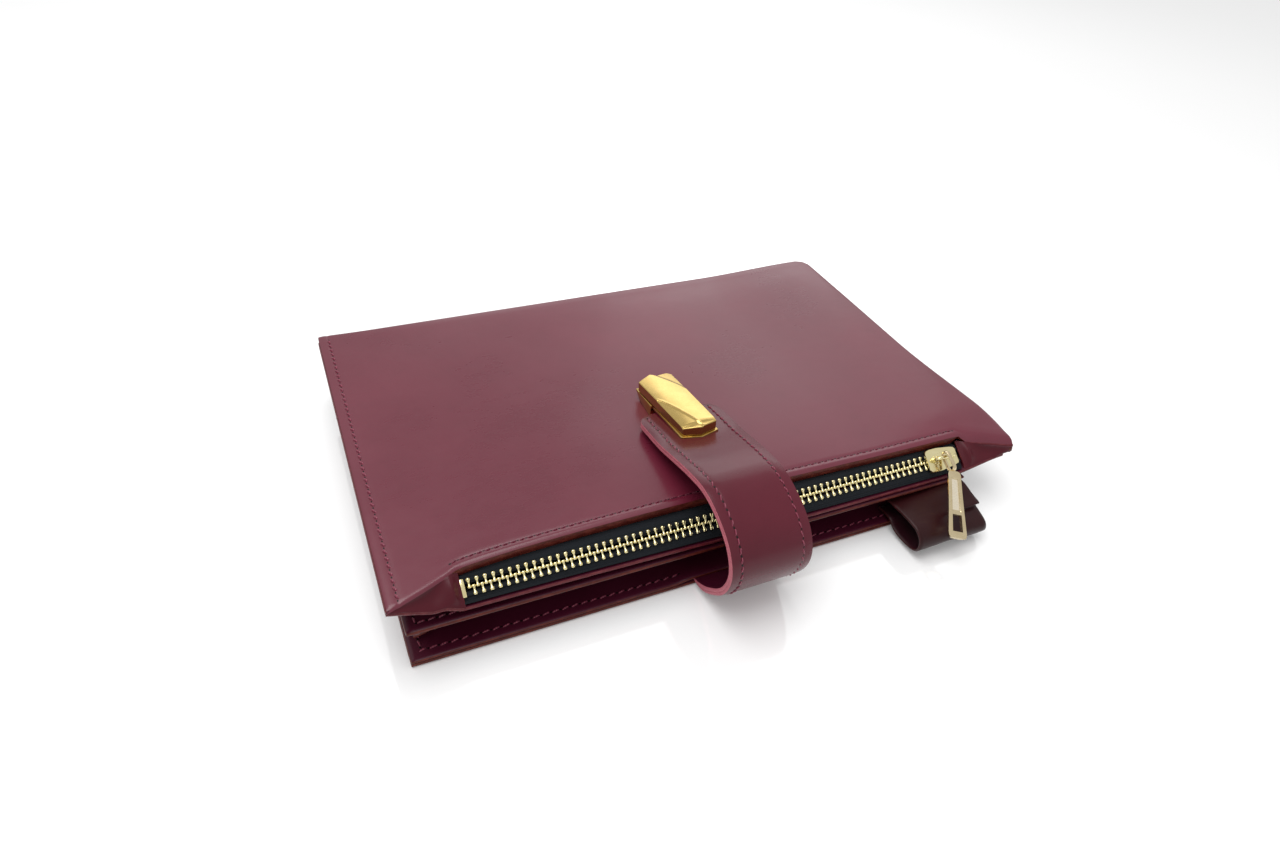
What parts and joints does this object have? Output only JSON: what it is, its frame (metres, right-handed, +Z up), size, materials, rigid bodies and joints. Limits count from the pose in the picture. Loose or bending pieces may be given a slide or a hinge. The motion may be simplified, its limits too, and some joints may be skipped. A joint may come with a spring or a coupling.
{
  "type": "leather document folio",
  "caption": "Flat burgundy leather document folio with a metal zip pouch, a pleated main pocket and a wrap-over strap closed by a gold bar clasp.",
  "frame": {"origin": "on the surface it rests on, under the middle of the whole object's box", "axes": "+X along the zip towards its closed end, -Y out of the mouth, where the strap's loop stands, +Z up from the rear cover to the clasp"},
  "size_m": [0.27, 0.2002, 0.0487],
  "materials": {
    "burgundy_leather": "smooth semi-gloss, fine grain",
    "raw_leather": "pink cut edge and flesh side",
    "black_cloth": "woven matte",
    "stiffening_board": "grey pressed board, hidden",
    "pale_brass": "polished pale gold",
    "polished_gold": "mirror-polished gold plate",
    "plated_steel": "nickel plate"
  },
  "bodies": {
    "folio": {"rear_cover": "burgundy_leather", "rear_board": "stiffening_board", "rear_lining": "burgundy_leather", "strap_anchor": "raw_leather", "divider_panel": "burgundy_leather", "left_gusset": "burgundy_leather", "right_gusset": "burgundy_leather", "right_ear": "burgundy_leather", "pouch_top_panel": "burgundy_leather", "pouch_lower_panel": "burgundy_leather", "pouch_board": "stiffening_board", "pouch_lining_upper": "black_cloth", "pouch_lining_lower": "black_cloth", "left_end_tab": "burgundy_leather", "right_end_tab": "burgundy_leather", "clasp_back_plate": "plated_steel", "clasp_base": "polished_gold", "clasp_magnet": "plated_steel", "base_screw_1": "plated_steel", "base_screw_2": "plated_steel", "zip_teeth_upper": "pale_brass", "zip_teeth_lower": "pale_brass", "zip_tape_upper": "black_cloth", "zip_tape_lower": "black_cloth", "zip_end_stop_upper": "pale_brass", "zip_end_stop_lower": "pale_brass", "zip_start_stop": "pale_brass"},
    "strap_loop": {"strap_outer_loop": "burgundy_leather", "strap_lining_loop": "raw_leather"},
    "strap_tongue": {"strap_outer_tongue": "burgundy_leather", "strap_lining_tongue": "raw_leather", "clasp_bar": "polished_gold", "clasp_frame": "polished_gold", "clasp_keeper": "plated_steel", "clasp_washer": "plated_steel", "clasp_rivet_1": "plated_steel", "clasp_rivet_2": "plated_steel"},
    "zip_slider": {"slider_body": "pale_brass", "slider_bridge": "pale_brass"},
    "zip_pull": {"pull_tab": "pale_brass"}
  },
  "joints": [
    {"name": "strap_root", "type": "hinge", "parent": "folio", "child": "strap_loop", "pos_m": [-0.001, -0.07317, 0.0019], "axis": [1, 0, 0], "range_deg": [0, 18]},
    {"name": "strap_flap", "type": "hinge", "parent": "strap_loop", "child": "strap_tongue", "pos_m": [-0.001, -0.06977, 0.0487], "axis": [1, 0, 0], "range_deg": [0, 115]},
    {"name": "zip_slide", "type": "slide", "parent": "folio", "child": "zip_slider", "axis": [-1, 0, 0], "range_m": [0, 0.064]},
    {"name": "pull_swing", "type": "hinge", "parent": "zip_slider", "child": "zip_pull", "pos_m": [0.1025, -0.06982, 0.03035], "axis": [-1, 0, 0], "range_deg": [0, 165]}
  ]
}
